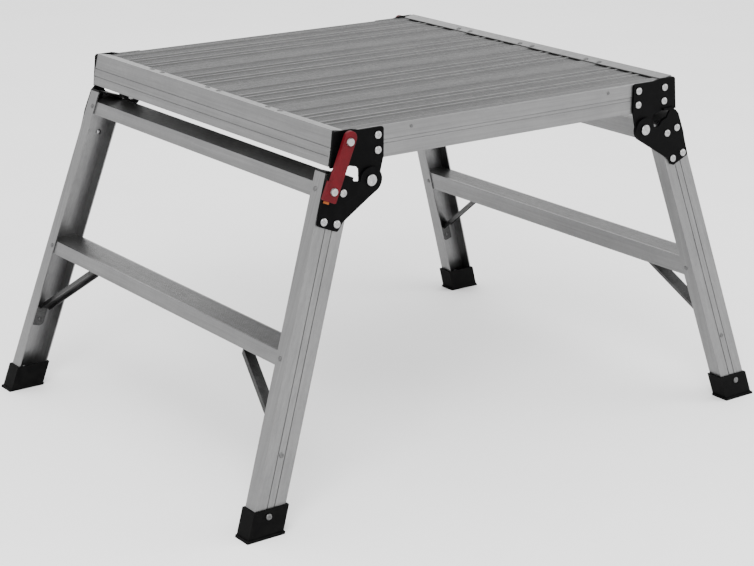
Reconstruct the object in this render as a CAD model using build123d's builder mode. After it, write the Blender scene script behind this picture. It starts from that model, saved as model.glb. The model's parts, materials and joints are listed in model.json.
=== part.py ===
from build123d import *
import os
from math import acos, atan2, cos, hypot, radians, sin, tan

# Folding aluminium work platform. Origin on the floor under the platform's centre, +X along the planks,
# -Y is the front, +Z up. Leg frame pieces are drawn for the left end (-X) and turned half a turn for the
# right end. Millimetres.

# --- platform -------------------------------------------------------------------------------------
PLATFORM_HEIGHT = 500.0
PLATFORM_LENGTH = 600.0
PLATFORM_WIDTH = 600.0
RAIL_HEIGHT = 45.0
RAIL_WALL = 2.5
RAIL_FLANGE = 22.0
END_SLANT = 8.0  # the end rails lean in by this much from bottom to top
END_CAP_WIDTH = 19.0
END_CAP_DROP = 2.8
END_CAP_EDGE = 1.2
END_GROOVE_DOWN = (21.5, 32.5)
SIDE_GROOVE_DOWN = (22.0, 26.5)
GROOVE_SIZE = (1.4, 1.6)
LEDGE_WIDTH = 36.0
SIDE_RAIL_DROP = 3.5
SIDE_RIVET_X = 170.0
SIDE_RIVET_DOWN = 10.5
SMALL_RIVET_RADIUS = 1.5
SMALL_RIVET_HEAD_RADIUS = 2.3
SMALL_HEAD_HEIGHT = 1.2

# --- planks -----------------------------------------------------------------------------------------
PLANK_COUNT = 4
PLANK_PITCH = 148.7
PLANK_WIDTH = 148.5
PLANK_WALL = 2.0
PLANK_RIB_HEIGHT = 2.0
PLANK_BAND_WIDTH = 16.0
PLANK_RIB_WIDTH = 3.6
PLANK_RIB_OFFSETS = (15.0, 29.0)
PLANK_END_GAP = 4.7
PLANK_WEB_DEPTH = 14.0
PLANK_EDGE_WEB_HALF_LENGTH = 214.0
PLANK_MID_WEB_OFFSET = 22.0
PLANK_RIVET_OFFSET = 14.0
PLANK_RIVET_FROM_EDGE = 13.0

# --- corner cleats ----------------------------------------------------------------------------------
CLEAT_FROM_EDGE = 2.5
CLEAT_LENGTH = 29.0
CLEAT_FOOT = 25.0
CLEAT_RIVETS = ((8.0, 15.0), (27.0, 12.5))  # in from the platform's end and from the rail's inner face

# --- hinge, measured inboard from the top edge of the end rail and down from the platform's top -----
PLATE_THICKNESS = 3.0
PIVOT = (54.5, 70.0)
UPPER_LOBE_RADIUS = 16.5
LOWER_LOBE_RADIUS = 17.0
UPPER_RIVETS = ((67.0, 14.0), (67.0, 33.5), (17.3, 14.5), (17.3, 34.0))
LEVER_PIVOT = UPPER_RIVETS[2]
WAIST_RIVET = (11.0, 80.5)  # above the lower plate's bend, like the hook pin
LOWER_RIVETS = ((-20.0, 112.8), (-0.5, 118.5))
HOOK = (-7.5, 74.8)
PLATE_GAP = 0.3  # between the upper and lower plates
PLATE_BEND = 92.0  # the lower plate is upright above this and lies on the stile's web below it
PLATE_CORNER_RADIUS = 4.0
SHEET_BOTTOM_DOWN = 180.0  # anywhere below the lower plate's tip
STOP_LIP = (10.0, 45.5)  # middle of the lip
STOP_LIP_LENGTH = 20.0
STOP_GAP = 0.4
STOP_LIP_REACH = 6.3
PIN_RADIUS = 4.95
PIN_CLEARANCE = 0.05
PIN_HEAD_RADIUS = 7.5
RIVET_RADIUS = 3.0
RIVET_HEAD_RADIUS = 5.2
HEAD_HEIGHT = 2.2
SET_HEAD_RADIUS = 3.9  # the end of a rivet or pin that is set inside

# --- lock lever -------------------------------------------------------------------------------------
LEVER_STANDOFF = 7.0  # outward from the side rail's face
LEVER_WIDTH = 18.0
LEVER_THICKNESS = 5.5
LEVER_SKIN = 1.7  # closes the hook slot on the outside
LEVER_TOP_CENTRE = 4.7
LEVER_TAIL = 14.0
LEVER_BLOCK_BULGE = 3.0
LEVER_BLOCK_LENGTH = 25.0
LEVER_PER_FOLD = 0.35  # degrees of lever swing for each degree of leg fold
LEVER_PIN_HEAD_RADIUS = 5.5
LEVER_SCREW_RADIUS = 2.0
LEVER_CORNER_RADIUS = 2.5
MOULDED_RADIUS = 0.8  # on the lever's and the button's outer edges
LEVER_BUSH_RADIUS = 5.0
HEAD_GAP = 0.3
SLOT_CLEARANCE = 0.5
SLOT_STEPS = 6
SLOT_END_FOLD = 15.0
BUTTON_OFFSET = 4.6
BUTTON_WIDTH = 7.0
BUTTON_LENGTH = 6.3
BUTTON_THICKNESS = 3.2
BUTTON_PROUD = 3.0
BUTTON_GAP = 0.25
POCKET_DEPTH = 8.3

# --- leg frames --------------------------------------------------------------------------------------
FOOT_HALF_SPAN = 449.0  # outer face of the stiles at the floor
SPLAY = 18.0
STILE_WIDTH = 44.0
STILE_DEPTH = 22.5
STILE_WALL = 1.8
STILE_TOP = 447.0
STILE_GROOVE_OFFSET = 5.5
FLARE = 4.9
TREAD_TOP = 227.0
TOP_BAR_TOP = 433.0
BAR_OUTER_FACE = 17.5
BAR_WALL = 1.8
TREAD_GROOVE_PITCH = 2.6
TREAD_GROOVE_SIZE = (1.0, 0.4)
TREAD_GROOVE_COUNT = 14
BAR_RIVET_INSET = 15.0
BAR_RIVET_DOWN_OUTER = 7.0
BAR_RIVET_DOWN_INNER = 17.0
FRAME_RIVET_RADIUS = 2.0
FRAME_RIVET_HEAD_RADIUS = 3.5
CAP_THICKNESS = 2.5
CAP_PLUG_DEPTH = 8.0
CAP_PLUG_WIDTH = 12.0

# --- braces ------------------------------------------------------------------------------------------
BRACE_WIDTH = 17.0
BRACE_WALL = 1.6
BRACE_DEPTH = 6.0
BRACE_TIP = 176.0
BRACE_BEND = 203.0
BRACE_TAB_RIVET = 187.0
BRACE_FOOT_BOTTOM = 103.0
BRACE_FOOT_TOP = 131.0
BRACE_FOOT_RIVET = 114.0
BRACE_END_RADIUS = 7.5
BRACE_FLANGE_SETBACK = 8.0

# --- feet --------------------------------------------------------------------------------------------
FOOT_HEIGHT = 37.0
FOOT_WALL = 3.0
FOOT_INNER_WALL = 2.0
FOOT_SOLE = 5.0
FOOT_LIP = 1.8
FOOT_LIP_HEIGHT = 3.5
FOOT_RIVET_HEIGHT = 27.5
FOOT_RIVET_INBOARD = 20.0
FOOT_RIVET_HEAD_RADIUS = 4.4

FRONT = -1
LEFT = -1
CORNERS = ((-1, -1), (-1, 1), (1, -1), (1, 1))  # end along X, side along Y
MARGIN = 20.0

RAIL_FACE = PLATFORM_WIDTH / 2
RAIL_INNER = RAIL_FACE - RAIL_WALL
RAIL_BOTTOM = PLATFORM_HEIGHT - RAIL_HEIGHT
TOP_HALF = PLATFORM_LENGTH / 2 - END_SLANT
CAP_UNDERSIDE = PLATFORM_HEIGHT - END_CAP_DROP - END_CAP_EDGE
PLATE_TOP = CAP_UNDERSIDE - PLANK_RIB_HEIGHT
PLATE_BOTTOM = PLATE_TOP - PLANK_WALL
LEDGE_BOTTOM = PLATE_BOTTOM - RAIL_WALL
CAP_SLOPE = END_CAP_DROP / END_CAP_WIDTH
UPPER_PLATE_FACE = RAIL_FACE + PLATE_THICKNESS
SPLAY_TAN = tan(radians(SPLAY))
SPLAY_COS = cos(radians(SPLAY))
SPLAY_SIN = sin(radians(SPLAY))
FLARE_TAN = tan(radians(FLARE))
FLARE_COS = cos(radians(FLARE))
STILE_SPAN = STILE_WIDTH / SPLAY_COS
FLANGE_SPAN = STILE_WALL / SPLAY_COS
STILE_REACH = STILE_DEPTH / FLARE_COS
WEB_SPAN = STILE_WALL / FLARE_COS
STILE_DIRECTION = (SPLAY_TAN, FLARE_TAN, 1.0)
STILE_STRETCH = hypot(*STILE_DIRECTION)
BRACE_TILT = BRACE_WIDTH * SPLAY_SIN * FLARE_TAN  # the web leans away by this across the brace's tab
BEND_HEIGHT = PLATFORM_HEIGHT - PLATE_BEND
LOWER_PLATE_FACE = UPPER_PLATE_FACE + PLATE_GAP
HEAD_FACE = LOWER_PLATE_FACE + PLATE_THICKNESS
LEVER_FACE = RAIL_FACE + LEVER_STANDOFF
LEVER_HEAD_FACE = LEVER_FACE + LEVER_THICKNESS + HEAD_GAP


def side_view(across, down):
    """Point of the left end's side view, from its distances to the platform's top edge."""
    return (across - TOP_HALF, PLATFORM_HEIGHT - down)


def end_face(height):
    """Distance of the end rails' outer face from the centre at a height."""
    return PLATFORM_LENGTH / 2 - END_SLANT * (height - RAIL_BOTTOM) / RAIL_HEIGHT


def web_face(height):
    """Distance of a stile's outer web face from the centre line at a height."""
    return LOWER_PLATE_FACE + (BEND_HEIGHT - height) * FLARE_TAN


def frame_point(inboard, height):
    """Point of the left frame's side view, at a depth inboard from its outer face."""
    return (-FOOT_HALF_SPAN + height * SPLAY_TAN + inboard / SPLAY_COS, height)


def frame_level(inboard, height):
    """Distance of such a point up along the frame."""
    return height / SPLAY_COS + inboard * SPLAY_TAN


def height_at(inboard, level):
    """Height of a point from its distance up along the frame."""
    return (level - inboard * SPLAY_TAN) * SPLAY_COS


def corner_seat(feature, distance, end, side):
    """Plane facing out of the front or back at a hinge feature of any corner."""
    x, z = side_view(*feature)
    return Plane(origin=(-end * x, side * distance, z), x_dir=(1, 0, 0), z_dir=(0, side, 0))


def web_seat(point, lift=0.0):
    """Plane on the front left stile's web, or lifted off it, facing out."""
    x, z = point
    on_web = Plane(origin=(x, -web_face(z), z), x_dir=(1, 0, 0), z_dir=(0, -1, FLARE_TAN))
    return on_web.offset(lift)


def edge_at(part, feature):
    """The part's front-to-back edge nearest a point of the side view."""
    x, z = side_view(*feature)
    return part.edges().filter_by(Axis.Y).sort_by_distance((x, -LOWER_PLATE_FACE, z))[0]


def has_lever(end, side):
    """The levers are on the front left and back right corners."""
    return end == side


def turned(shape):
    """The right end's copy of a left end piece."""
    return shape.rotate(Axis.Z, 180)


def flipped(shape):
    """The back copy of a front piece."""
    return mirror(shape, about=Plane.XZ)


def write(shape, name):
    shape.label = name
    export_step(shape, f"parts/{name}.step")


def write_ends(shape, name):
    write(shape, f"left_{name}")
    write(turned(shape), f"right_{name}")


def write_corners(shape, name):
    write(shape, f"{name}_front_left")
    write(flipped(shape), f"{name}_back_left")
    write(turned(flipped(shape)), f"{name}_front_right")
    write(turned(shape), f"{name}_back_right")


def add_fastener(plane, grip, radius, head_radius, head_height=HEAD_HEIGHT):
    """Headed pin seated on a plane and closed behind the pieces that it holds."""
    with BuildSketch(plane) as head:
        Circle(head_radius)
    extrude(head.sketch, amount=head_height, taper=20)
    with BuildSketch(plane) as shank:
        Circle(radius)
    extrude(shank.sketch, amount=-grip)
    with BuildSketch(plane.offset(-grip)) as tail:
        Circle(head_radius * 0.75)
    extrude(tail.sketch, amount=-head_height * 0.6)


def cut_hole(plane, radius, depth):
    """Round hole through the work on both sides of a plane."""
    with BuildSketch(plane) as hole:
        Circle(radius)
    extrude(hole.sketch, amount=depth, both=True, mode=Mode.SUBTRACT)


# --- deck ---------------------------------------------------------------------------------------------
def plank_centre(index):
    return (index - (PLANK_COUNT - 1) / 2) * PLANK_PITCH


def plank_rivet_seats():
    """Rivets in pairs, one each side of every joint between planks, on the sloping caps."""
    reach = TOP_HALF - PLANK_RIVET_FROM_EDGE
    height = PLATFORM_HEIGHT - PLANK_RIVET_FROM_EDGE * CAP_SLOPE
    joints = [plank_centre(i) + PLANK_PITCH / 2 for i in range(PLANK_COUNT - 1)]
    return [
        Plane(origin=(end * reach, joint + way * PLANK_RIVET_OFFSET, height), z_dir=(-end * CAP_SLOPE, 0, 1))
        for end in (-1, 1)
        for joint in joints
        for way in (-1, 1)
    ]


def side_rivet_seats():
    height = PLATFORM_HEIGHT - SIDE_RIVET_DOWN
    return [
        Plane(origin=(end * SIDE_RIVET_X, side * RAIL_FACE, height), x_dir=(1, 0, 0), z_dir=(0, side, 0))
        for end, side in CORNERS
    ]


def draw_plank_top(centre):
    """Plate with a raised band along each edge and narrow ribs between."""
    seat = (Align.CENTER, Align.MIN)
    with Locations((centre, PLATE_BOTTOM)):
        Rectangle(PLANK_WIDTH, PLANK_WALL, align=seat)
    band = (PLANK_WIDTH - PLANK_BAND_WIDTH) / 2
    with Locations((centre - band, PLATE_TOP), (centre + band, PLATE_TOP)):
        Rectangle(PLANK_BAND_WIDTH, PLANK_RIB_HEIGHT, align=seat)
    for offset in PLANK_RIB_OFFSETS:
        with Locations((centre - offset, PLATE_TOP), (centre + offset, PLATE_TOP)):
            Trapezoid(PLANK_RIB_WIDTH, PLANK_RIB_HEIGHT, 75, align=seat)


def make_plank(index):
    centre = plank_centre(index)
    edge = (PLANK_WIDTH - PLANK_WALL) / 2
    hung = (Align.CENTER, Align.MAX)
    with BuildPart() as plank:
        with BuildSketch(Plane.YZ):
            draw_plank_top(centre)
        extrude(amount=TOP_HALF - PLANK_END_GAP, both=True)
        with BuildSketch(Plane.YZ):
            with Locations((centre - edge, PLATE_BOTTOM), (centre + edge, PLATE_BOTTOM)):
                Rectangle(PLANK_WALL, PLANK_WEB_DEPTH, align=hung)
        extrude(amount=PLANK_EDGE_WEB_HALF_LENGTH, both=True)
        with BuildSketch(Plane.YZ):
            for way in (-1, 1):
                with Locations((centre + way * PLANK_MID_WEB_OFFSET, PLATE_BOTTOM)):
                    Rectangle(PLANK_WALL, PLANK_WEB_DEPTH, align=hung)
        extrude(amount=TOP_HALF - LEDGE_WIDTH - PLANK_WALL, both=True)
        for seat in plank_rivet_seats():
            if abs(seat.origin.Y - centre) < PLANK_WIDTH / 2:
                cut_hole(seat, FRAME_RIVET_RADIUS, MARGIN)
        for seat in side_rivet_seats():
            if abs(seat.origin.Y - centre) < PLANK_PITCH:
                cut_hole(seat, SMALL_RIVET_RADIUS, RAIL_WALL + 2 * PLANK_WALL)
    return plank.part


def make_side_rail():
    """Front rail: an upright web with a flange along its foot and two fine grooves."""
    top = PLATFORM_HEIGHT - SIDE_RAIL_DROP
    with BuildPart() as rail:
        with BuildSketch(Plane.XZ.offset(RAIL_FACE)):
            Polygon(
                (-end_face(RAIL_BOTTOM), RAIL_BOTTOM),
                (end_face(RAIL_BOTTOM), RAIL_BOTTOM),
                (end_face(top), top),
                (-end_face(top), top),
                align=None,
            )
        extrude(amount=-RAIL_WALL)
        top_edge = rail.edges().filter_by(Axis.X).group_by(Axis.Z)[-1].sort_by(Axis.Y)[0]
        fillet(top_edge, RAIL_WALL / 2)
        with BuildSketch(Plane.XY.offset(RAIL_BOTTOM)):
            with Locations((0, -RAIL_FACE)):
                Rectangle(2 * (TOP_HALF - RAIL_FLANGE), RAIL_FLANGE, align=(Align.CENTER, Align.MIN))
        extrude(amount=RAIL_WALL)
        for down in SIDE_GROOVE_DOWN:
            with BuildSketch(Plane.XZ.offset(RAIL_FACE)):
                with Locations((0, PLATFORM_HEIGHT - down)):
                    Rectangle(PLATFORM_LENGTH + MARGIN, GROOVE_SIZE[0])
            extrude(amount=-GROOVE_SIZE[1] / 2, mode=Mode.SUBTRACT)
        for end in (-1, 1):
            for feature in UPPER_RIVETS:
                cut_hole(corner_seat(feature, RAIL_FACE, end, FRONT), RIVET_RADIUS, MARGIN)
            cut_hole(cleat_rivet_seats(end, FRONT)[1], FRAME_RIVET_RADIUS, MARGIN / 2)
        for seat in side_rivet_seats()[::2]:
            cut_hole(seat, SMALL_RIVET_RADIUS, MARGIN)
    return rail.part


def draw_end_rail():
    """Section of the left end rail: leaning web, foot flange, ledge for the planks and sloping cap."""
    inner = end_face(PLATE_BOTTOM) - RAIL_WALL
    Polygon(
        (-end_face(RAIL_BOTTOM), RAIL_BOTTOM),
        (-end_face(RAIL_BOTTOM) + RAIL_FLANGE, RAIL_BOTTOM),
        (-end_face(RAIL_BOTTOM) + RAIL_FLANGE, RAIL_BOTTOM + RAIL_WALL),
        (-end_face(RAIL_BOTTOM + RAIL_WALL) + RAIL_WALL, RAIL_BOTTOM + RAIL_WALL),
        (-inner, LEDGE_BOTTOM),
        (-TOP_HALF + LEDGE_WIDTH, LEDGE_BOTTOM),
        (-TOP_HALF + LEDGE_WIDTH, PLATE_BOTTOM),
        (-inner, PLATE_BOTTOM),
        (-inner, CAP_UNDERSIDE),
        (-TOP_HALF + END_CAP_WIDTH, CAP_UNDERSIDE),
        (-TOP_HALF + END_CAP_WIDTH, CAP_UNDERSIDE + END_CAP_EDGE),
        (-TOP_HALF, PLATFORM_HEIGHT),
        align=None,
    )


def make_end_rail():
    with BuildPart() as rail:
        with BuildSketch(Plane.XZ):
            draw_end_rail()
            for down in END_GROOVE_DOWN:
                height = PLATFORM_HEIGHT - down
                with Locations((-end_face(height), height)):
                    Rectangle(GROOVE_SIZE[1], GROOVE_SIZE[0], mode=Mode.SUBTRACT)
        extrude(amount=RAIL_INNER, both=True)
        for seat in plank_rivet_seats():
            if seat.origin.X < 0:
                cut_hole(seat, FRAME_RIVET_RADIUS, MARGIN)
        for side in (-1, 1):
            cut_hole(cleat_rivet_seats(LEFT, side)[0], FRAME_RIVET_RADIUS, MARGIN / 2)
    return rail.part


def cleat_rivet_seats(end, side):
    """Rivets up through the rails' foot flanges: one in the end rail, one in the side rail."""
    return [
        Plane(
            origin=(end * (PLATFORM_LENGTH / 2 - from_end), side * (RAIL_INNER - from_side), RAIL_BOTTOM),
            z_dir=(0, 0, -1),
        )
        for from_end, from_side in CLEAT_RIVETS
    ]


def make_cleat():
    """Angle in the front left corner, joining the side rail to the end rail."""
    start = -TOP_HALF + CLEAT_FROM_EDGE
    foot_top = RAIL_BOTTOM + 2 * RAIL_WALL
    with BuildPart() as cleat:
        with BuildSketch(Plane.YZ.offset(start)):
            with Locations((-RAIL_INNER, RAIL_BOTTOM + RAIL_WALL)):
                Rectangle(CLEAT_FOOT, RAIL_WALL, align=(Align.MIN, Align.MIN))
                Rectangle(RAIL_WALL, LEDGE_BOTTOM - foot_top, align=(Align.MIN, Align.MIN))
        extrude(amount=CLEAT_LENGTH)
        for feature in UPPER_RIVETS[2:]:
            cut_hole(corner_seat(feature, RAIL_FACE, LEFT, FRONT), RIVET_RADIUS, MARGIN / 2)
        for seat in cleat_rivet_seats(LEFT, FRONT):
            cut_hole(seat, FRAME_RIVET_RADIUS, MARGIN / 2)
    return cleat.part


# --- hinges -------------------------------------------------------------------------------------------
def make_upper_plate():
    """Front left plate on the platform, with a lip that stops the leg frame as it opens."""
    outline = (
        (-2.0, 1.0), (26.0, 1.0), (38.0, 3.5), (76.0, 3.5), (76.0, 42.0), (70.0, 66.0), (38.2, 70.0),
        (37.9, 54.6), (34.6, 50.4), (20.0, 47.0), (-6.5, 47.0),
    )
    with BuildPart() as plate:
        with BuildSketch(Plane.XZ.offset(RAIL_FACE)):
            Polygon(*[side_view(*point) for point in outline], align=None)
            with Locations(side_view(*PIVOT)):
                Circle(UPPER_LOBE_RADIUS)
        extrude(amount=PLATE_THICKNESS)
        with BuildSketch(Plane.XZ.offset(RAIL_FACE)):
            with Locations(side_view(*STOP_LIP)):
                Rectangle(STOP_LIP_LENGTH, PLATE_THICKNESS)
        extrude(amount=STOP_LIP_REACH)
        fillet([edge_at(plate, outline[0]), edge_at(plate, outline[3])], PLATE_CORNER_RADIUS)
        for feature in UPPER_RIVETS:
            cut_hole(corner_seat(feature, RAIL_FACE, LEFT, FRONT), RIVET_RADIUS, MARGIN)
        cut_hole(corner_seat(PIVOT, RAIL_FACE, LEFT, FRONT), PIN_RADIUS, MARGIN)
    return plate.part


def lobe_tangent(corner):
    """Point where a straight edge from a corner below runs into the lower plate's round lobe."""
    across = corner[0] - PIVOT[0]
    down = corner[1] - PIVOT[1]
    angle = atan2(down, across) - acos(LOWER_LOBE_RADIUS / hypot(across, down))
    return (PIVOT[0] + LOWER_LOBE_RADIUS * cos(angle), PIVOT[1] + LOWER_LOBE_RADIUS * sin(angle))


def draw_bent_sheet():
    """Edge view of the lower plate's sheet: upright down to the bend, then along the stile's web."""
    bottom = side_view(0, SHEET_BOTTOM_DOWN)[1]
    thick = PLATE_THICKNESS / FLARE_COS
    Polygon(
        (-LOWER_PLATE_FACE, PLATFORM_HEIGHT),
        (-LOWER_PLATE_FACE, BEND_HEIGHT),
        (-web_face(bottom), bottom),
        (-web_face(bottom) - thick, bottom),
        (-HEAD_FACE, BEND_HEIGHT),
        (-HEAD_FACE, PLATFORM_HEIGHT),
        align=None,
    )


def make_lower_plate():
    """Front left plate on the leg frame, bent so that its top is upright beside the upper plate."""
    top = STOP_LIP[1] + PLATE_THICKNESS / 2 + STOP_GAP
    corner = (8.5, 117.5)
    end = (0.0, 128.5)
    outer_end = (-30.0, 116.5)
    outline = (
        (-9.0, 53.5), (-2.0, top), (8.0, top), (13.6, 57.7), (23.0, 62.0), (27.7, 67.9), (38.0, 69.5),
        lobe_tangent(corner), corner, end, outer_end, (-21.0, 82.0),
    )
    with BuildPart() as plate:
        with BuildSketch(Plane.YZ.offset(-PLATFORM_LENGTH / 2)):
            draw_bent_sheet()
        extrude(amount=PLATFORM_LENGTH / 4, both=True)
        with BuildSketch(Plane.XZ.offset(RAIL_FACE)):
            Polygon(*[side_view(*point) for point in outline], align=None)
            with Locations(side_view(*PIVOT)):
                Circle(LOWER_LOBE_RADIUS)
        extrude(amount=MARGIN, both=True, mode=Mode.INTERSECT)
        fillet([edge_at(plate, end), edge_at(plate, outer_end)], PLATE_CORNER_RADIUS)
        cut_web_holes()
        cut_hole(corner_seat(PIVOT, RAIL_FACE, LEFT, FRONT), PIN_RADIUS + PIN_CLEARANCE, MARGIN)
    return plate.part


def cut_web_holes():
    """Holes shared by the lower plate and the stile's web."""
    for feature in LOWER_RIVETS:
        cut_hole(web_seat(side_view(*feature)), RIVET_RADIUS, MARGIN / 2)
    for feature in (WAIST_RIVET, HOOK):
        cut_hole(corner_seat(feature, LOWER_PLATE_FACE, LEFT, FRONT), RIVET_RADIUS, MARGIN / 2)


# --- lock levers --------------------------------------------------------------------------------------
def lever_length():
    """Distance between the lever's pivot and the hook pin."""
    return hypot(HOOK[0] - LEVER_PIVOT[0], HOOK[1] - LEVER_PIVOT[1])


def lever_plane(distance):
    """Plane on the front left lever: X runs down the lever from its pivot, Y inboard."""
    x, z = side_view(*LEVER_PIVOT)
    hook_x, hook_z = side_view(*HOOK)
    return Plane(origin=(x, -distance, z), x_dir=(hook_x - x, 0, hook_z - z), z_dir=(0, -1, 0))


def hook_in_lever(fold):
    """Where the hook pin is on the lever when the leg frame has folded by an angle."""
    swing = radians(fold)
    back = radians(fold * LEVER_PER_FOLD)
    pivot_x, pivot_z = side_view(*PIVOT)
    hook_x, hook_z = side_view(*HOOK)
    reach_x = hook_x - pivot_x
    reach_z = hook_z - pivot_z
    x = pivot_x + reach_x * cos(swing) - reach_z * sin(swing)
    z = pivot_z + reach_x * sin(swing) + reach_z * cos(swing)
    lever_x, lever_z = side_view(*LEVER_PIVOT)
    off_x = x - lever_x
    off_z = z - lever_z
    still_x = off_x * cos(back) - off_z * sin(back)
    still_z = off_x * sin(back) + off_z * cos(back)
    down_x = (hook_x - lever_x) / lever_length()
    down_z = (hook_z - lever_z) / lever_length()
    return (still_x * down_x + still_z * down_z, -still_x * down_z + still_z * down_x)


def make_lever():
    """Front left lever, open along the path by which the hook pin leaves it."""
    bottom = lever_length() + LEVER_TAIL
    folds = [SLOT_END_FOLD * i / SLOT_STEPS for i in range(SLOT_STEPS + 1)]
    with BuildPart() as lever:
        with BuildSketch(lever_plane(LEVER_FACE)):
            with Locations((-LEVER_TOP_CENTRE, 0)):
                Circle(LEVER_WIDTH / 2)
                Rectangle(bottom + LEVER_TOP_CENTRE, LEVER_WIDTH, align=(Align.MIN, Align.CENTER))
            with Locations((bottom, LEVER_WIDTH / 2)):
                Rectangle(
                    LEVER_BLOCK_LENGTH, LEVER_WIDTH + LEVER_BLOCK_BULGE, align=(Align.MAX, Align.MAX)
                )
        extrude(amount=LEVER_THICKNESS)
        fillet(lever.edges().filter_by(Axis.Y).sort_by(Axis.Z)[:2], LEVER_CORNER_RADIUS)
        fillet(lever.faces().sort_by(Axis.Y)[0].edges(), MOULDED_RADIUS)
        cut_hole(lever_plane(LEVER_FACE), RIVET_RADIUS + PIN_CLEARANCE, MARGIN)
        with BuildSketch(lever_plane(LEVER_FACE)):
            for fold in folds:
                with Locations(hook_in_lever(fold)):
                    Circle(RIVET_RADIUS + SLOT_CLEARANCE)
            with BuildLine():
                Polyline(*[hook_in_lever(fold) for fold in folds])
            trace(line_width=2 * (RIVET_RADIUS + SLOT_CLEARANCE))
        extrude(amount=LEVER_THICKNESS - LEVER_SKIN, mode=Mode.SUBTRACT)
        cut_hole(corner_seat(HOOK, LEVER_FACE, LEFT, FRONT), LEVER_SCREW_RADIUS, MARGIN)
        with BuildSketch(lever_plane(LEVER_FACE + LEVER_THICKNESS / 2)):
            with Locations((bottom, -BUTTON_OFFSET)):
                Rectangle(
                    POCKET_DEPTH, BUTTON_WIDTH + 2 * BUTTON_GAP, align=(Align.MAX, Align.CENTER)
                )
        extrude(amount=BUTTON_THICKNESS / 2 + BUTTON_GAP, both=True, mode=Mode.SUBTRACT)
    return lever.part


def make_button():
    """Release button, sliding along the lever in a pocket at its lower end."""
    with BuildPart() as button:
        with BuildSketch(lever_plane(LEVER_FACE + LEVER_THICKNESS / 2)):
            with Locations((lever_length() + LEVER_TAIL + BUTTON_PROUD, -BUTTON_OFFSET)):
                Rectangle(BUTTON_LENGTH, BUTTON_WIDTH, align=(Align.MAX, Align.CENTER))
        extrude(amount=BUTTON_THICKNESS / 2, both=True)
        fillet(button.edges().group_by(Axis.Z)[0], MOULDED_RADIUS)
    return button.part


def make_lever_pin():
    """Pin through the front left upper plate, with a bush that holds the lever off the plate."""
    with BuildPart() as pin:
        plane = corner_seat(LEVER_PIVOT, LEVER_HEAD_FACE, LEFT, FRONT)
        grip = LEVER_HEAD_FACE - RAIL_INNER + RAIL_WALL
        add_fastener(plane, grip, RIVET_RADIUS, LEVER_PIN_HEAD_RADIUS)
        with BuildSketch(corner_seat(LEVER_PIVOT, UPPER_PLATE_FACE, LEFT, FRONT)):
            Circle(LEVER_BUSH_RADIUS)
        extrude(amount=LEVER_FACE - UPPER_PLATE_FACE - HEAD_GAP)
    return pin.part


def waist_depth(feature):
    """Distance to the inside of the stile's web at a feature above the plate's bend, past its tilt."""
    height = side_view(*feature)[1]
    return web_face(height) - WEB_SPAN - RIVET_HEAD_RADIUS * FLARE_TAN


def make_hook_pin():
    """Stub on the front left lower plate that the lever's slot hooks over."""
    tip = LEVER_FACE + LEVER_THICKNESS - LEVER_SKIN - HEAD_GAP
    back = waist_depth(HOOK)
    with BuildPart() as pin:
        with BuildSketch(corner_seat(HOOK, tip, LEFT, FRONT)):
            Circle(RIVET_RADIUS)
        extrude(amount=back - tip)
        with BuildSketch(corner_seat(HOOK, back, LEFT, FRONT)):
            Circle(SET_HEAD_RADIUS)
        extrude(amount=-HEAD_HEIGHT / 2)
    return pin.part


def make_lever_screw():
    """Screw in the front left lever's outer skin, over the hook slot."""
    with BuildPart() as screw:
        with BuildSketch(corner_seat(HOOK, LEVER_FACE + LEVER_THICKNESS, LEFT, FRONT)) as head:
            Circle(LEVER_PIN_HEAD_RADIUS)
        extrude(head.sketch, amount=HEAD_HEIGHT, taper=20)
        with BuildSketch(corner_seat(HOOK, LEVER_FACE + LEVER_THICKNESS, LEFT, FRONT)) as shank:
            Circle(LEVER_SCREW_RADIUS)
        extrude(shank.sketch, amount=-LEVER_SKIN)
    return screw.part


# --- leg frames ---------------------------------------------------------------------------------------
def add_column(inboard, outward, width, depth, bottom, top, mode=Mode.ADD):
    """Prism that follows the front left stile: its section is measured in from the outer faces."""
    x = frame_point(inboard, bottom)[0]
    with BuildSketch(Plane.XY.offset(bottom)) as section:
        with Locations((x, -web_face(bottom) + outward)):
            Rectangle(width, depth, align=(Align.MIN, Align.MIN))
    extrude(section.sketch, amount=(top - bottom) * STILE_STRETCH, dir=STILE_DIRECTION, mode=mode)


def across_frame(level):
    """Plane square to the left frame at a distance up along it, facing up."""
    x, z = frame_point(0, height_at(0, level))
    return Plane(origin=(x, 0, z), x_dir=(SPLAY_COS, 0, -SPLAY_SIN), z_dir=(SPLAY_SIN, 0, SPLAY_COS))


def make_stile():
    """Front left channel, its web facing out, with two grooves along the web."""
    top = frame_level(0, STILE_TOP)
    long = STILE_TOP + MARGIN
    middle = (STILE_SPAN - GROOVE_SIZE[0]) / 2
    with BuildPart() as stile:
        add_column(0, 0, STILE_SPAN, WEB_SPAN, FOOT_SOLE, long)
        add_column(0, 0, FLANGE_SPAN, STILE_REACH, FOOT_SOLE, long)
        add_column(STILE_WIDTH - STILE_WALL, 0, FLANGE_SPAN, STILE_REACH, FOOT_SOLE, long)
        for way in (-1, 1):
            x = (middle + way * STILE_GROOVE_OFFSET) * SPLAY_COS
            add_column(x, 0, GROOVE_SIZE[0], GROOVE_SIZE[1] / 2, FOOT_SOLE, long, Mode.SUBTRACT)
        split(bisect_by=across_frame(top), keep=Keep.BOTTOM)
        cut_web_holes()
        for plane in flange_seats():
            cut_hole(plane, FRAME_RIVET_RADIUS, MARGIN / 4)
        cut_hole(brace_foot_seat(), FRAME_RIVET_RADIUS, MARGIN / 4)
        cut_hole(foot_seat(), FRAME_RIVET_RADIUS, MARGIN / 2)
    return stile.part


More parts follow.
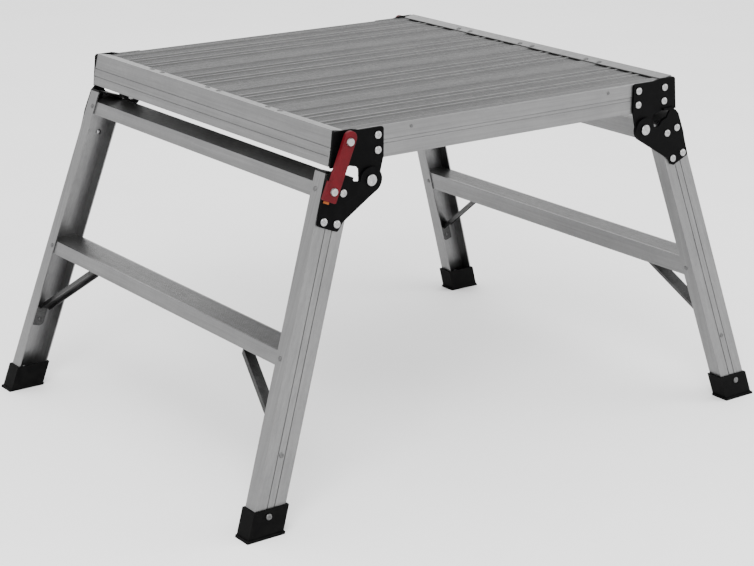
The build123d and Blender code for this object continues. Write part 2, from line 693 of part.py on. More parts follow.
def make_stile_cap():
    """Plastic plate on top of the front left stile, with a short plug in the channel."""
    level = frame_level(0, STILE_TOP)
    bottom = STILE_TOP - STILE_WIDTH
    top = STILE_TOP + MARGIN
    with BuildPart() as plug:
        add_column(STILE_WALL, WEB_SPAN, CAP_PLUG_WIDTH, CAP_PLUG_WIDTH, bottom, top)
        split(bisect_by=across_frame(level), keep=Keep.BOTTOM)
        split(bisect_by=across_frame(level - CAP_PLUG_DEPTH), keep=Keep.TOP)
    with BuildPart() as cap:
        add_column(0, 0, STILE_SPAN, STILE_REACH, bottom, top)
        split(bisect_by=across_frame(level), keep=Keep.TOP)
        split(bisect_by=across_frame(level + CAP_THICKNESS), keep=Keep.BOTTOM)
        add(plug.part)
    return cap.part


def make_bar(top):
    """Hollow bar across the left frame, level on top, closed in by the stiles' flanges and webs."""
    level = frame_level(STILE_WALL, top - BAR_OUTER_FACE)
    inner = STILE_WIDTH - STILE_WALL
    corners = (
        (STILE_WALL, top),
        (inner, top),
        (inner, height_at(inner, level)),
        (STILE_WALL, top - BAR_OUTER_FACE),
    )
    middle = frame_point(STILE_WIDTH / 2, top)
    with BuildPart() as bar:
        with BuildSketch(Plane.XZ):
            Polygon(*[frame_point(*corner) for corner in corners], align=None)
            offset(amount=-BAR_WALL, kind=Kind.INTERSECTION, mode=Mode.SUBTRACT)
            if top == TREAD_TOP:
                with Locations(middle):
                    with GridLocations(TREAD_GROOVE_PITCH, 0, TREAD_GROOVE_COUNT, 1):
                        Rectangle(TREAD_GROOVE_SIZE[0], TREAD_GROOVE_SIZE[1] * 2, mode=Mode.SUBTRACT)
        extrude(amount=PLATFORM_WIDTH, both=True)
        split(bisect_by=web_seat((0, 0), -STILE_WALL), keep=Keep.BOTTOM)
        split(bisect_by=mirrored_plane(web_seat((0, 0), -STILE_WALL)), keep=Keep.BOTTOM)
        for plane in flange_seats(top):
            cut_hole(plane, FRAME_RIVET_RADIUS, MARGIN / 4)
            cut_hole(mirrored_plane(plane), FRAME_RIVET_RADIUS, MARGIN / 4)
        if top == TREAD_TOP:
            cut_hole(brace_tab_seat(), FRAME_RIVET_RADIUS, MARGIN / 4)
            cut_hole(mirrored_plane(brace_tab_seat()), FRAME_RIVET_RADIUS, MARGIN / 4)
    return bar.part


def mirrored_plane(plane):
    """The back copy of a front plane."""
    origin = plane.origin
    normal = plane.z_dir
    return Plane(origin=(origin.X, -origin.Y, origin.Z), z_dir=(normal.X, -normal.Y, normal.Z))


def flange_seats(*tops):
    """Rivets from the front left stile's flanges into the ends of the tread and top bar."""
    planes = []
    for top in tops or (TREAD_TOP, TOP_BAR_TOP):
        for inboard, down, way in ((0, BAR_RIVET_DOWN_OUTER, -1), (STILE_WIDTH, BAR_RIVET_DOWN_INNER, 1)):
            x, z = frame_point(inboard, top - down)
            origin = (x, -web_face(z) + BAR_RIVET_INSET, z)
            planes.append(Plane(origin=origin, z_dir=(way * SPLAY_COS, 0, -way * SPLAY_SIN)))
    return planes


# --- braces -------------------------------------------------------------------------------------------
def frame_plane(inboard):
    """Plane lying in the left frame: X along the platform's width, Y up along the frame, facing out."""
    x, z = frame_point(inboard, height_at(inboard, 0))
    return Plane(origin=(x, 0, z), x_dir=(0, -1, 0), z_dir=(-SPLAY_COS, 0, SPLAY_SIN))


def under_tread():
    """Distance of the tread's underside up along the frame."""
    return frame_level(STILE_WALL, TREAD_TOP - BAR_OUTER_FACE)


def web_at_level(level):
    """Distance from the centre line to the web's inner face, taken at the brace's inboard edge."""
    return web_face(height_at((STILE_WIDTH - BRACE_WIDTH) / 2, level)) - WEB_SPAN


def brace_tab_seat():
    """Under the brace's upper tab, facing down."""
    level = under_tread() - BRACE_WALL
    x, z = frame_point(STILE_WIDTH / 2, height_at(STILE_WIDTH / 2, level))
    return Plane(origin=(x, -BRACE_TAB_RIVET, z), x_dir=(0, 1, 0), z_dir=(-SPLAY_SIN, 0, -SPLAY_COS))


def brace_foot_seat():
    """On the stile's web over the brace's lower tab, facing out."""
    return web_seat(frame_point(STILE_WIDTH / 2, height_at(STILE_WIDTH / 2, BRACE_FOOT_RIVET)))


def brace_line():
    """Outer line of the brace strip: up the web, slanting in, then along under the tread."""
    top = under_tread()
    return (
        (web_at_level(BRACE_FOOT_BOTTOM), BRACE_FOOT_BOTTOM),
        (web_at_level(BRACE_FOOT_TOP), BRACE_FOOT_TOP),
        (BRACE_BEND, top),
        (BRACE_TIP, top),
    )


def brace_flange():
    """Edge folded down along the slanting part of the brace, as a shape in the frame's plane."""
    bend, upper = brace_line()[1:3]
    run = hypot(upper[0] - bend[0], upper[1] - bend[1])
    along = ((upper[0] - bend[0]) / run, (upper[1] - bend[1]) / run)
    down = (-along[1], along[0])

    def point(distance, depth):
        return (
            bend[0] + along[0] * distance + down[0] * depth,
            bend[1] + along[1] * distance + down[1] * depth,
        )

    return (
        point(BRACE_FLANGE_SETBACK / 2, BRACE_WALL / 2),
        point(run - BRACE_FLANGE_SETBACK / 2, BRACE_WALL / 2),
        point(run - BRACE_FLANGE_SETBACK, BRACE_DEPTH),
        point(BRACE_FLANGE_SETBACK, BRACE_DEPTH),
    )


def make_brace():
    """Front left brace: a strip with a tab at each end and its edges folded down along the slant."""
    start, bend, upper, tip = brace_line()
    inner_bend = (bend[0] - BRACE_WALL, bend[1])
    inner_upper = (upper[0], upper[1] - BRACE_WALL)
    half = BRACE_WIDTH / 2
    with BuildPart() as brace:
        with BuildSketch(frame_plane(STILE_WIDTH / 2)):
            Polygon(
                start, bend, upper, tip, (tip[0], tip[1] - BRACE_WALL), inner_upper, inner_bend,
                (start[0] - BRACE_WALL, start[1]), align=None,
            )
        extrude(amount=half, both=True)
        ends = brace.edges().filter_by(Axis.Y, tolerance=SPLAY).group_by(Axis.Z)[0]
        fillet(ends, BRACE_END_RADIUS)
        for way in (-1, 1):
            with BuildSketch(frame_plane(STILE_WIDTH / 2).offset(way * half)) as flange:
                Polygon(*brace_flange(), align=None)
            extrude(flange.sketch, amount=-way * BRACE_WALL)
        cut_hole(brace_tab_seat(), FRAME_RIVET_RADIUS, MARGIN / 4)
        cut_hole(brace_foot_seat(), FRAME_RIVET_RADIUS, MARGIN / 4)
    return brace.part


# --- feet ---------------------------------------------------------------------------------------------
def foot_seat():
    """On the rubber foot's outer wall over the stile's web, facing out."""
    return web_seat(frame_point(FOOT_RIVET_INBOARD, FOOT_RIVET_HEIGHT), FOOT_WALL)


def make_foot():
    """Front left rubber boot around the end of the stile."""
    side = FOOT_WALL / SPLAY_COS
    reach = STILE_REACH + FOOT_WALL + FOOT_INNER_WALL
    with BuildPart() as foot:
        add_column(
            -FOOT_WALL, -FOOT_WALL, STILE_SPAN + 2 * side, reach, 0, FOOT_HEIGHT
        )
        add_column(
            -FOOT_WALL - FOOT_LIP, -FOOT_WALL - FOOT_LIP, STILE_SPAN + 2 * (side + FOOT_LIP),
            reach + FOOT_LIP, 0, FOOT_LIP_HEIGHT,
        )
        add_column(0, 0, STILE_SPAN, STILE_REACH, FOOT_SOLE, FOOT_HEIGHT + MARGIN, Mode.SUBTRACT)
        cut_hole(foot_seat(), FRAME_RIVET_RADIUS, MARGIN / 2)
    return foot.part


# --- fasteners ----------------------------------------------------------------------------------------
def make_plank_rivets():
    grip = PLATFORM_HEIGHT - PLANK_RIVET_FROM_EDGE * CAP_SLOPE - LEDGE_BOTTOM
    grip += SET_HEAD_RADIUS * CAP_SLOPE  # keeps the set head off the ledge's underside
    with BuildPart() as rivets:
        for seat in plank_rivet_seats():
            add_fastener(seat, grip, FRAME_RIVET_RADIUS, SET_HEAD_RADIUS, SMALL_HEAD_HEIGHT)
    return rivets.part


def make_side_rivets():
    grip = RAIL_FACE - plank_centre(PLANK_COUNT - 1) - PLANK_WIDTH / 2 + PLANK_WALL
    with BuildPart() as rivets:
        for seat in side_rivet_seats():
            add_fastener(seat, grip, SMALL_RIVET_RADIUS, SMALL_RIVET_HEAD_RADIUS, SMALL_HEAD_HEIGHT)
    return rivets.part


def make_cleat_rivets():
    with BuildPart() as rivets:
        for end, side in CORNERS:
            for seat in cleat_rivet_seats(end, side):
                add_fastener(
                    seat, 2 * RAIL_WALL, FRAME_RIVET_RADIUS, FRAME_RIVET_HEAD_RADIUS, SMALL_HEAD_HEIGHT
                )
    return rivets.part


def make_upper_rivets():
    with BuildPart() as rivets:
        for end, side in CORNERS:
            for feature in UPPER_RIVETS:
                if feature == LEVER_PIVOT and has_lever(end, side):
                    continue
                grip = PLATE_THICKNESS + RAIL_WALL
                if feature in UPPER_RIVETS[2:]:
                    grip = grip + RAIL_WALL
                seat = corner_seat(feature, UPPER_PLATE_FACE, end, side)
                add_fastener(seat, grip, RIVET_RADIUS, RIVET_HEAD_RADIUS)
    return rivets.part


def make_pivot_pins():
    with BuildPart() as pins:
        for end, side in CORNERS:
            seat = corner_seat(PIVOT, HEAD_FACE + HEAD_GAP, end, side)
            add_fastener(seat, HEAD_FACE + HEAD_GAP - RAIL_FACE, PIN_RADIUS, PIN_HEAD_RADIUS)
    return pins.part


def make_lower_rivets():
    """Rivets of the left frame's two lower plates; the back one has a rivet in place of the hook pin."""
    with BuildPart() as front:
        for feature in LOWER_RIVETS:
            seat = web_seat(side_view(*feature), PLATE_THICKNESS)
            add_fastener(seat, PLATE_THICKNESS + STILE_WALL, RIVET_RADIUS, RIVET_HEAD_RADIUS)
        seat = corner_seat(WAIST_RIVET, HEAD_FACE, LEFT, FRONT)
        add_fastener(seat, HEAD_FACE - waist_depth(WAIST_RIVET), RIVET_RADIUS, RIVET_HEAD_RADIUS)
    with BuildPart() as spare:
        seat = corner_seat(HOOK, HEAD_FACE, LEFT, -FRONT)
        add_fastener(seat, HEAD_FACE - waist_depth(HOOK), RIVET_RADIUS, RIVET_HEAD_RADIUS)
    with BuildPart() as rivets:
        add(front.part)
        add(flipped(front.part))
        add(spare.part)
    return rivets.part


def make_frame_rivets():
    """Rivets of the left frame's bars, braces and feet."""
    small = (FRAME_RIVET_RADIUS, FRAME_RIVET_HEAD_RADIUS, SMALL_HEAD_HEIGHT)
    with BuildPart() as rivets:
        for plane in flange_seats():
            add_fastener(plane, STILE_WALL + BAR_WALL, *small)
        add_fastener(brace_tab_seat(), BRACE_WALL + BAR_WALL, *small)
        add_fastener(brace_foot_seat(), STILE_WALL + BRACE_WALL + BRACE_TILT, *small)
        add_fastener(foot_seat(), FOOT_WALL + STILE_WALL, FRAME_RIVET_RADIUS, FOOT_RIVET_HEAD_RADIUS)
        mirror(about=Plane.XZ)
    return rivets.part


os.makedirs("parts", exist_ok=True)

for number in range(PLANK_COUNT):
    write(make_plank(number), f"deck_plank_{number + 1}")

front_rail = make_side_rail()
write(front_rail, "side_rail_front")
write(flipped(front_rail), "side_rail_back")
write_ends(make_end_rail(), "end_rail")
write_corners(make_cleat(), "corner_cleat")
write_corners(make_upper_plate(), "upper_hinge_plate")
write(make_plank_rivets(), "plank_rivets")
write(make_side_rivets(), "side_rivets")
write(make_cleat_rivets(), "cleat_rivets")
write(make_upper_rivets(), "upper_hinge_rivets")
write(make_pivot_pins(), "pivot_pins")

write_ends(make_lever_pin(), "lever_pin")
write_ends(make_lever(), "lock_lever")
write_ends(make_button(), "release_button")
write_ends(make_hook_pin(), "hook_pin")
write_ends(make_lever_screw(), "lever_screw")

write_corners(make_stile(), "stile")
write_corners(make_stile_cap(), "stile_cap")
write_corners(make_lower_plate(), "lower_hinge_plate")
write_corners(make_brace(), "brace")
write_corners(make_foot(), "rubber_foot")
write_ends(make_bar(TREAD_TOP), "tread")
write_ends(make_bar(TOP_BAR_TOP), "top_bar")
write_ends(make_lower_rivets(), "lower_hinge_rivets")
write_ends(make_frame_rivets(), "frame_rivets")
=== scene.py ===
import json
import math

import bmesh
import bpy
from mathutils import Matrix, Vector


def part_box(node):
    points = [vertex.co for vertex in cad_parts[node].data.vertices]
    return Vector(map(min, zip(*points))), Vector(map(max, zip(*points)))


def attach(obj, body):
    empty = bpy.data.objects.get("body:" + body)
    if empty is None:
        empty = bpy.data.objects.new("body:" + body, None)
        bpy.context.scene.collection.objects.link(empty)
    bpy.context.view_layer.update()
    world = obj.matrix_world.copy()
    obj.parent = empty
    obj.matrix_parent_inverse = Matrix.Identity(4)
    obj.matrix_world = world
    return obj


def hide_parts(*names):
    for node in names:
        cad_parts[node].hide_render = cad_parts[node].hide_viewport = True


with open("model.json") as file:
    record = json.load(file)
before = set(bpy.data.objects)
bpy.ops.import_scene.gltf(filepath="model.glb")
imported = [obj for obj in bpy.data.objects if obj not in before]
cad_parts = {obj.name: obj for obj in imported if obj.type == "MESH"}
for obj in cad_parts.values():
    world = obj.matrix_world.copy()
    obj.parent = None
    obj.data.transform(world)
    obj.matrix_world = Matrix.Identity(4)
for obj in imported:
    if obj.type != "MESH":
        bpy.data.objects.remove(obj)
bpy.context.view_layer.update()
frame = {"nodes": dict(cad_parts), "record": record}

NODES = frame["nodes"]
BODIES = frame["record"]["behaviour"]["bodies"]
BODY_OF = {node: body for body, members in BODIES.items() for node in members}
MM = 0.001

# --- camera: the photograph's station point, in metres and radians ---------------------------------
CAMERA_PLACE = (-1.6539, -2.2246, 1.0578)
CAMERA_YAW = 0.6393
CAMERA_PITCH = 0.31
CAMERA_ROLL = 0.006
CAMERA_LENS = 93.4

# --- leg frames' lean, for the direction of the stiles' grain --------------------------------------
SPLAY = math.radians(18.0)


def make_camera():
    data = bpy.data.cameras.new("camera")
    data.lens = CAMERA_LENS
    data.sensor_width = 36.0
    data.clip_end = 50.0
    camera = bpy.data.objects.new("camera", data)
    bpy.context.scene.collection.objects.link(camera)
    ahead = Vector((
        math.sin(CAMERA_YAW) * math.cos(CAMERA_PITCH),
        math.cos(CAMERA_YAW) * math.cos(CAMERA_PITCH),
        -math.sin(CAMERA_PITCH),
    ))
    camera.location = CAMERA_PLACE
    camera.rotation_mode = "QUATERNION"
    level = ahead.to_track_quat("-Z", "Y")
    camera.rotation_quaternion = level @ Matrix.Rotation(CAMERA_ROLL, 3, "Z").to_quaternion()
    bpy.context.scene.camera = camera


# --- light and floor --------------------------------------------------------------------------------
def add_light(name, place, aim, size, power):
    data = bpy.data.lights.new(name, "AREA")
    data.shape = "RECTANGLE"
    data.size, data.size_y = size
    data.energy = power
    light = bpy.data.objects.new(name, data)
    bpy.context.scene.collection.objects.link(light)
    light.location = place
    light.rotation_mode = "QUATERNION"
    light.rotation_quaternion = (Vector(aim) - Vector(place)).to_track_quat("-Z", "Y")


def make_studio():
    world = bpy.data.worlds.new("studio")
    world.use_nodes = True
    background = world.node_tree.nodes["Background"]
    background.inputs["Color"].default_value = (1.0, 1.0, 1.0, 1.0)
    background.inputs["Strength"].default_value = 1.9
    bpy.context.scene.world = world
    add_light("key", (-1.6, -1.8, 2.6), (0, 0, 0.3), (1.6, 1.6), 95.0)
    add_light("fill", (2.4, -1.6, 1.4), (0, 0, 0.3), (1.8, 1.4), 30.0)
    add_light("back", (0.6, 2.6, 2.2), (0, 0, 0.4), (2.4, 1.2), 12.0)
    mesh = bpy.data.meshes.new("floor")
    reach = 12.0
    corners = [(-reach, -reach, 0), (reach, -reach, 0), (reach, reach, 0), (-reach, reach, 0)]
    mesh.from_pydata(corners, [], [(0, 1, 2, 3)])
    floor = bpy.data.objects.new("floor", mesh)
    bpy.context.scene.collection.objects.link(floor)
    floor.data.materials.append(make_floor_material())


# --- node helpers -----------------------------------------------------------------------------------
class Recipe:
    """A new node material and short calls for the nodes that the recipes below share."""

    def __init__(self, name):
        self.material = bpy.data.materials.new(name)
        self.material.use_nodes = True
        self.tree = self.material.node_tree
        self.shader = self.tree.nodes["Principled BSDF"]

    def node(self, kind, **values):
        made = self.tree.nodes.new(kind)
        for key, value in values.items():
            if key in made.inputs:
                made.inputs[key].default_value = value
            else:
                setattr(made, key, value)
        return made

    def link(self, source, target):
        self.tree.links.new(source, target)

    def place(self, scale, turn=(0, 0, 0)):
        """Rest position in metres, turned and then stretched."""
        coordinates = self.node("ShaderNodeTexCoord")
        turned = self.node("ShaderNodeMapping", Rotation=turn)
        stretched = self.node("ShaderNodeMapping", Scale=scale)
        self.link(coordinates.outputs["Object"], turned.inputs["Vector"])
        self.link(turned.outputs["Vector"], stretched.inputs["Vector"])
        return stretched.outputs["Vector"]

    def noise(self, vector, scale, detail=4.0, roughness=0.55):
        made = self.node("ShaderNodeTexNoise", Scale=scale, Detail=detail, Roughness=roughness)
        self.link(vector, made.inputs["Vector"])
        return made.outputs["Fac"]

    def ramp(self, source, *stops):
        """Colour ramp: each stop is a place and a grey level or colour."""
        made = self.node("ShaderNodeValToRGB")
        elements = made.color_ramp.elements
        while len(elements) < len(stops):
            elements.new(0.5)
        for element, (place, colour) in zip(elements, stops):
            element.position = place
            element.color = (*colour, 1.0) if isinstance(colour, tuple) else (colour, colour, colour, 1.0)
        self.link(source, made.inputs["Fac"])
        return made.outputs["Color"]

    def mix(self, first, second, factor, blend="MIX"):
        made = self.node("ShaderNodeMix", data_type="RGBA", blend_type=blend)
        sockets = {s.identifier: s for s in made.inputs}
        for value, key in ((first, "A_Color"), (second, "B_Color"), (factor, "Factor_Float")):
            if isinstance(value, bpy.types.NodeSocket):
                self.link(value, sockets[key])
            else:
                sockets[key].default_value = value
        return {s.identifier: s for s in made.outputs}["Result_Color"]

    def bump(self, height, distance, strength=1.0, under=None):
        made = self.node("ShaderNodeBump", Distance=distance, Strength=strength)
        self.link(height, made.inputs["Height"])
        if under is not None:
            self.link(under, made.inputs["Normal"])
        return made.outputs["Normal"]

    def set(self, **values):
        for key, value in values.items():
            socket = self.shader.inputs[key.replace("_", " ")]
            if isinstance(value, bpy.types.NodeSocket):
                self.link(value, socket)
            else:
                socket.default_value = value


def make_floor_material():
    recipe = Recipe("pale_floor")
    grain = recipe.noise(recipe.place((1, 1, 1)), 3.0)
    recipe.set(Base_Color=recipe.ramp(grain, (0.3, 0.93), (0.7, 0.96)), Roughness=0.85)
    return recipe.material


# --- materials --------------------------------------------------------------------------------------
def aluminium(name, along, turn=(0, 0, 0), tone=0.205):
    """Extruded aluminium: drawn lines along one axis, handling marks and a dull oxide bloom."""
    recipe = Recipe(name)
    stretch = [1.0, 1.0, 1.0]
    stretch[along] = 0.012
    lines = recipe.place(stretch, turn)
    fine = recipe.noise(lines, 1500.0, 3.0)
    broad = recipe.noise(lines, 220.0, 4.0)
    bloom = recipe.noise(recipe.place((1, 1, 1)), 14.0, 6.0, 0.6)
    scuff = recipe.noise(recipe.place((1, 1, 1), (0.4, 0.9, 0.2)), 160.0, 2.0)
    base = recipe.ramp(broad, (0.25, tone * 0.84), (0.75, tone * 1.06))
    base = recipe.mix(base, recipe.ramp(fine, (0.35, 0.72), (0.6, 1.0)), 0.5, "MULTIPLY")
    oxide = recipe.ramp(bloom, (0.3, (0.80, 0.80, 0.81)), (0.7, (1.0, 1.0, 1.0)))
    base = recipe.mix(base, oxide, 0.6, "MULTIPLY")
    drawn = recipe.ramp(fine, (0.3, 0.34), (0.7, 0.46))
    handled = recipe.ramp(scuff, (0.4, 0.30), (0.6, 0.52))
    rough = recipe.mix(drawn, handled, 0.35)
    height = recipe.mix(fine, broad, 0.35)
    recipe.set(Base_Color=base, Metallic=1.0, Roughness=rough, Normal=recipe.bump(height, 0.00006, 0.6))
    return recipe.material


def black_steel():
    """Black powder coat: a fine pebbled skin, slightly worn to grey in places."""
    recipe = Recipe("black_steel")
    place = recipe.place((1, 1, 1))
    pebble = recipe.noise(place, 1400.0, 2.0)
    wear = recipe.noise(place, 90.0, 8.0, 0.7)
    base = recipe.ramp(wear, (0.45, (0.0008, 0.0008, 0.0009)), (0.72, (0.0024, 0.0024, 0.0026)))
    recipe.set(
        Base_Color=base, Roughness=recipe.ramp(wear, (0.35, 0.42), (0.7, 0.62)),
        Normal=recipe.bump(pebble, 0.00008, 0.5), Specular_IOR_Level=0.035,
    )
    return recipe.material


def zinc():
    """Zinc plated heads: bright, with a faint blotch and fine scratches."""
    recipe = Recipe("zinc")
    place = recipe.place((1, 1, 1))
    blotch = recipe.noise(place, 260.0, 4.0)
    scratch = recipe.noise(recipe.place((1, 1, 0.08), (0.5, 0.3, 0.7)), 2600.0, 2.0)
    base = recipe.ramp(blotch, (0.3, (0.26, 0.26, 0.27)), (0.7, (0.38, 0.38, 0.37)))
    recipe.set(
        Base_Color=base, Metallic=1.0, Roughness=recipe.ramp(scratch, (0.3, 0.24), (0.7, 0.40)),
        Normal=recipe.bump(scratch, 0.00003, 0.4),
    )
    return recipe.material


def galvanised():
    """Dull galvanised strip: mottled grey spangle, darker in patches."""
    recipe = Recipe("galvanised")
    place = recipe.place((1, 1, 1))
    cells = recipe.node("ShaderNodeTexVoronoi", Scale=900.0)
    recipe.link(place, cells.inputs["Vector"])
    spangle = recipe.ramp(cells.outputs["Color"], (0.2, 0.05), (0.8, 0.075))
    patch = recipe.noise(place, 45.0, 6.0, 0.65)
    base = recipe.mix(spangle, recipe.ramp(patch, (0.35, 0.45), (0.65, 1.0)), 0.75, "MULTIPLY")
    recipe.set(
        Base_Color=base, Metallic=0.9, Roughness=recipe.ramp(patch, (0.3, 0.32), (0.7, 0.55)),
        Normal=recipe.bump(patch, 0.00010, 0.4),
    )
    return recipe.material


def rubber():
    """Moulded black rubber with a dusty bloom and a fine pitted skin."""
    recipe = Recipe("rubber")
    place = recipe.place((1, 1, 1))
    dust = recipe.noise(place, 70.0, 8.0, 0.7)
    pits = recipe.noise(place, 900.0, 3.0)
    base = recipe.ramp(dust, (0.40, (0.001, 0.001, 0.0011)), (0.78, (0.005, 0.005, 0.0048)))
    recipe.set(
        Base_Color=base, Roughness=recipe.ramp(dust, (0.3, 0.50), (0.7, 0.78)),
        Normal=recipe.bump(pits, 0.00012, 0.6), Specular_IOR_Level=0.04,
    )
    return recipe.material


def plastic(name, dark, light, shine):
    """Moulded plastic: faint flow marks, fine stipple and rubbed patches."""
    recipe = Recipe(name)
    place = recipe.place((1, 1, 1))
    flow = recipe.noise(place, 55.0, 6.0, 0.6)
    stipple = recipe.noise(place, 1800.0, 2.0)
    recipe.set(
        Base_Color=recipe.ramp(flow, (0.35, dark), (0.70, light)),
        Roughness=recipe.ramp(flow, (0.3, shine), (0.7, shine + 0.18)),
        Normal=recipe.bump(stipple, 0.00005, 0.5), Specular_IOR_Level=0.10,
    )
    return recipe.material


def make_materials():
    lean = {"left": 1, "right": -1}
    made = {
        "along_x": aluminium("aluminium_along_x", 0),
        "deck": aluminium("aluminium_deck", 0, tone=0.105),
        "along_y": aluminium("aluminium_along_y", 1),
        "black_steel": black_steel(),
        "zinc": zinc(),
        # painted shade: the plain rivets get a darker tone than the rails, standing in for the shadows round
        # their heads
        "rivet_painted_shade": aluminium("rivet_painted_shade", 2, tone=0.13),
        "galvanised": galvanised(),
        "rubber": rubber(),
        "black_plastic": plastic("black_plastic", (0.001, 0.001, 0.0011), (0.003, 0.003, 0.0033), 0.45),
        "red_plastic": plastic("red_plastic", (0.056, 0.0016, 0.0040), (0.084, 0.0024, 0.0058), 0.42),
        "orange_plastic": plastic("orange_plastic", (0.18, 0.045, 0.008), (0.25, 0.065, 0.012), 0.40),
    }
    for end, way in lean.items():
        made[f"stile_{end}"] = aluminium(f"aluminium_stile_{end}", 2, (0, -way * SPLAY, 0))
    return made


def finish_for(node, slots, made):
    """The material for a CAD node, from its slot and, for aluminium, the way that it was drawn."""
    slot = slots[node]
    if slot != "aluminium":
        return made[slot]
    if node.startswith("stile"):
        return made["stile_left" if node.endswith("left") else "stile_right"]
    if node.startswith("deck_plank"):
        return made["deck"]
    if node.startswith("side_rail"):
        return made["along_x"]
    return made["along_y"]


def dress_nodes(made):
    slots = {part["node"]: part["material_slot"] for part in frame["record"]["subparts"]}
    for node, piece in NODES.items():
        material = finish_for(node, slots, made)
        if not piece.material_slots:
            piece.data.materials.append(material)
        for index in range(len(piece.material_slots)):
            piece.material_slots[index].material = material


# --- planks: the CAD plank with its finely ribbed top --------------------------------------------
PLANK_WALL = 2.0
EDGE_WEB_HALF_LENGTH = 214.0
MID_WEB_HALF_LENGTH = 254.0
MID_WEB_OFFSET = 22.0
PLANK_BAND = 16.0
PLANK_RIBS = (15.0, 29.0)
RIB_TOP = 3.2
RIB_FOOT = 4.4
RIB_HEIGHT = 2.0
FINE_PITCH = 3.0
FINE_HEIGHT = 0.55
FINE_TOP = 0.9
EDGE = 0.35
JOINT_BEVEL = 0.9
BAND_GROOVES = (0.80, 0.60, 0.40, 0.20)


def plank_top(half):
    """Top line of half a plank, from its middle out, as distance and depth below the top, in mm."""
    line = []
    stands = [(rib - RIB_FOOT / 2, rib + RIB_FOOT / 2) for rib in PLANK_RIBS]
    stands.append((half - PLANK_BAND, half))
    place = 0.0
    for start, end in stands:
        count = max(1, round((start - place) / FINE_PITCH))
        pitch = (start - place) / count
        for i in range(count):
            middle = place + (i + 0.5) * pitch
            line += [
                (middle - FINE_TOP, RIB_HEIGHT), (middle - FINE_TOP / 2, RIB_HEIGHT - FINE_HEIGHT),
                (middle + FINE_TOP / 2, RIB_HEIGHT - FINE_HEIGHT), (middle + FINE_TOP, RIB_HEIGHT),
            ]
        slope = (RIB_FOOT - RIB_TOP) / 2
        line += [(start, RIB_HEIGHT), (start + slope, EDGE), (start + slope + EDGE, 0)]
        if end < half:
            line += [(end - slope - EDGE, 0), (end - slope, EDGE), (end, RIB_HEIGHT)]
        place = end
    for share in BAND_GROOVES:
        groove = half - PLANK_BAND * share
        line += [(groove - 1, 0), (groove - 0.5, 0.7), (groove + 0.5, 0.7), (groove + 1, 0)]
    line += [(half - JOINT_BEVEL, 0), (half, 2 * JOINT_BEVEL)]
    return line


def sweep_along_x(name, outline, start, end):
    """Closed outline in Y and Z, drawn along X, with its ends closed."""
    mesh = bpy.data.meshes.new(name)
    shape = bmesh.new()
    near = [shape.verts.new((start, y, z)) for y, z in outline]
    far = [shape.verts.new((end, y, z)) for y, z in outline]
    count = len(outline)
    for i in range(count):
        shape.faces.new((near[i], near[(i + 1) % count], far[(i + 1) % count], far[i]))
    caps = [shape.faces.new(near), shape.faces.new(far)]
    bmesh.ops.triangulate(shape, faces=caps)
    bmesh.ops.recalc_face_normals(shape, faces=shape.faces)
    shape.to_mesh(mesh)
    shape.free()
    piece = bpy.data.objects.new(name, mesh)
    bpy.context.scene.collection.objects.link(piece)
    return piece


def make_plank(number, made):
    node = f"deck_plank_{number}"
    low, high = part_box(node)
    middle = (low.y + high.y) / 2
    half = (high.y - low.y) / 2 / MM
    line = plank_top(half)
    bottom = RIB_HEIGHT + PLANK_WALL
    top = [(-y, z) for y, z in reversed(line)] + line
    under = [(half, bottom), (-half, bottom)]
    outline = [(middle + y * MM, high.z - z * MM) for y, z in top + under]
    piece = sweep_along_x(f"ribbed_plank_{number}", outline, low.x, high.x)
    depth = (high.z - low.z) / MM
    for way in (-1, 1):
        edge = middle + way * (half - PLANK_WALL / 2) * MM
        add_web(piece, edge, high.z, bottom, depth, EDGE_WEB_HALF_LENGTH)
        add_web(piece, middle + way * MID_WEB_OFFSET * MM, high.z, bottom, depth, MID_WEB_HALF_LENGTH)
    piece.data.materials.append(made["deck"])
    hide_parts(node)
    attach(piece, BODY_OF[node])


def add_web(piece, y, top, start, end, half_length):
    """Stiffening web under a plank's plate."""
    shape = bmesh.new()
    shape.from_mesh(piece.data)
    size = Matrix.Diagonal((2 * half_length * MM, PLANK_WALL * MM, (end - start) * MM, 1))
    place = Matrix.Translation((0, y, top - (start + end) / 2 * MM))
    bmesh.ops.create_cube(shape, size=1.0, matrix=place @ size)
    shape.to_mesh(piece.data)
    shape.free()


# --- fastener heads: domed, with the drawn stem of a blind rivet in the middle -------------------
RIM_SHARE = 0.97  # points this near the full radius are on the head's rim
END_DEPTH = 0.05 * MM  # points this near a fastener's ends are on its end faces


def islands(mesh):
    """The separate solids of a mesh, as lists of vertex and face indices."""
    owner = list(range(len(mesh.vertices)))

    def root(i):
        while owner[i] != i:
            owner[i] = owner[owner[i]]
            i = owner[i]
        return i

    seen = {}
    for vertex in mesh.vertices:
        key = tuple(round(c, 6) for c in vertex.co)
        owner[root(vertex.index)] = root(seen.setdefault(key, vertex.index))
    for edge in mesh.edges:
        owner[root(edge.vertices[0])] = root(edge.vertices[1])
    groups = {}
    for face in mesh.polygons:
        groups.setdefault(root(face.vertices[0]), []).append(face)
    return list(groups.values())


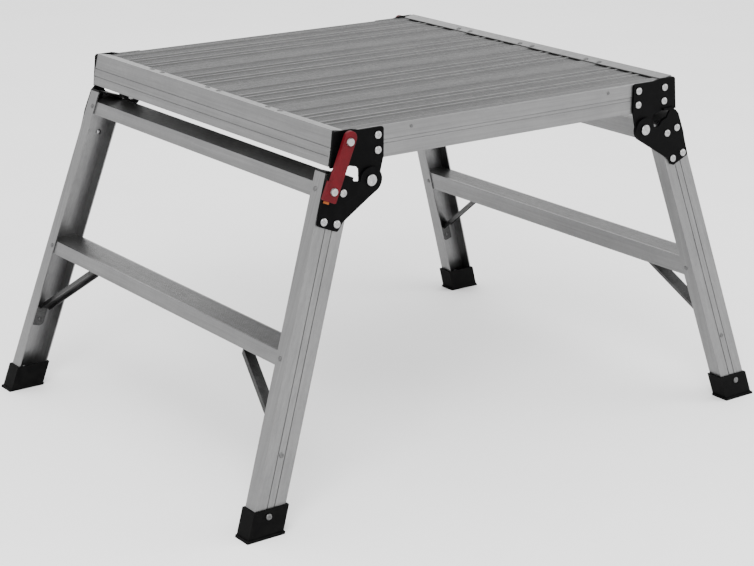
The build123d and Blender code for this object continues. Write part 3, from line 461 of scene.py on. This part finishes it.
def head_of(mesh, faces):
    """Seat centre, outward axis, radius and height of a fastener's head."""
    corners = {v for face in faces for v in face.vertices}
    points = [mesh.vertices[v].co.copy() for v in corners]
    areas = {}
    for face in faces:
        normal = face.normal if max(face.normal, key=abs) > 0 else -face.normal
        key = tuple(round(c, 2) for c in normal)
        areas[key] = areas.get(key, 0.0) + face.area
    axis = Vector(max(areas, key=areas.get)).normalized()
    along = [p.dot(axis) for p in points]
    low, high = min(along), max(along)
    ends = [p for p, t in zip(points, along) if t < low + END_DEPTH or t > high - END_DEPTH]
    centre = sum(ends, Vector()) / len(ends)
    reach = [((p - centre) - (p - centre).dot(axis) * axis).length for p in points]
    radius = max(reach)
    rim = [t for t, r in zip(along, reach) if r > radius * RIM_SHARE]
    seat = sum(rim) / len(rim)
    outward = 1 if high - seat < seat - low else -1
    height = (high - seat) if outward > 0 else (seat - low)
    place = centre + (seat - centre.dot(axis)) * axis
    return place, axis * outward, radius, height


def lathe(shape, place, axis, line, steps=28):
    """Round solid about an axis, from a line of radius and height pairs that starts and ends on it."""
    turn = axis.to_track_quat("Z", "Y").to_matrix()
    rings = []
    for radius, height in line:
        if radius == 0:
            rings.append([shape.verts.new(place + turn @ Vector((0, 0, height)))])
            continue
        angles = [2 * math.pi * i / steps for i in range(steps)]
        rings.append([
            shape.verts.new(place + turn @ Vector((radius * math.cos(a), radius * math.sin(a), height)))
            for a in angles
        ])
    for lower, upper in zip(rings, rings[1:]):
        for i in range(steps):
            j = (i + 1) % steps
            corners = [
                lower[i % len(lower)], lower[j % len(lower)],
                upper[j % len(upper)], upper[i % len(upper)],
            ]
            face = shape.faces.new(list(dict.fromkeys(corners)))
            face.smooth = True


def dome_line(radius, height):
    """Blind rivet: low dome with a small recess round the broken stem."""
    stem = radius * 0.26
    line = [(0.0, 0.0), (radius, 0.0), (radius, height * 0.14)]
    line += [
        (radius * (0.36 + 0.64 * math.cos(a)), height * (0.14 + 0.86 * math.sin(a)))
        for a in [math.radians(15 * k) for k in range(1, 7)]
    ]
    line += [(stem * 1.15, height * 0.62), (stem, height * 0.62)]
    return line + [(stem * 0.9, height * 0.86), (0.0, height * 0.92)]


def button_line(radius, height):
    """Pin head: flat face with a rounded rim and a shallow turned centre."""
    return [
        (0.0, 0.0), (radius, 0.0), (radius, height * 0.45), (radius * 0.95, height * 0.80),
        (radius * 0.86, height), (radius * 0.40, height),
        (radius * 0.34, height * 0.80), (0.0, height * 0.76),
    ]


def make_heads(node, line, material):
    """Pieces for a group of fasteners: finer heads with turned shanks as deep as the CAD ones, which are
    hidden.
    """
    source = NODES[node].data
    mesh = bpy.data.meshes.new(f"fine_{node}")
    shape = bmesh.new()
    for faces in islands(source):
        place, axis, radius, height = head_of(source, faces)
        lathe(shape, place, axis, line(radius, height))
        corners = [source.vertices[v].co for face in faces for v in face.vertices]
        depth = min((p - place).dot(axis) for p in corners)
        shank = [(0.0, 0.0), (radius * 0.5, 0.0), (radius * 0.5, depth * 0.75), (radius * 0.72, depth * 0.8),
                 (radius * 0.72, depth), (0.0, depth)]
        lathe(shape, place, axis, shank, 16)
    bmesh.ops.recalc_face_normals(shape, faces=shape.faces)
    shape.to_mesh(mesh)
    shape.free()
    piece = bpy.data.objects.new(f"fine_{node}", mesh)
    bpy.context.scene.collection.objects.link(piece)
    mesh.materials.append(material)
    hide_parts(node)
    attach(piece, BODY_OF[node])


make_camera()
make_studio()
MADE = make_materials()
dress_nodes(MADE)
for plank in range(1, 5):
    make_plank(plank, MADE)
for group in ("upper_hinge_rivets", "left_lower_hinge_rivets", "right_lower_hinge_rivets"):
    make_heads(group, dome_line, MADE["zinc"])
# painted shade: these rivets take the darker rivet tone, which stands in for the shadows round their heads
for group in ("plank_rivets", "side_rivets", "left_frame_rivets", "right_frame_rivets"):
    make_heads(group, dome_line, MADE["rivet_painted_shade"])
make_heads("pivot_pins", button_line, MADE["zinc"])
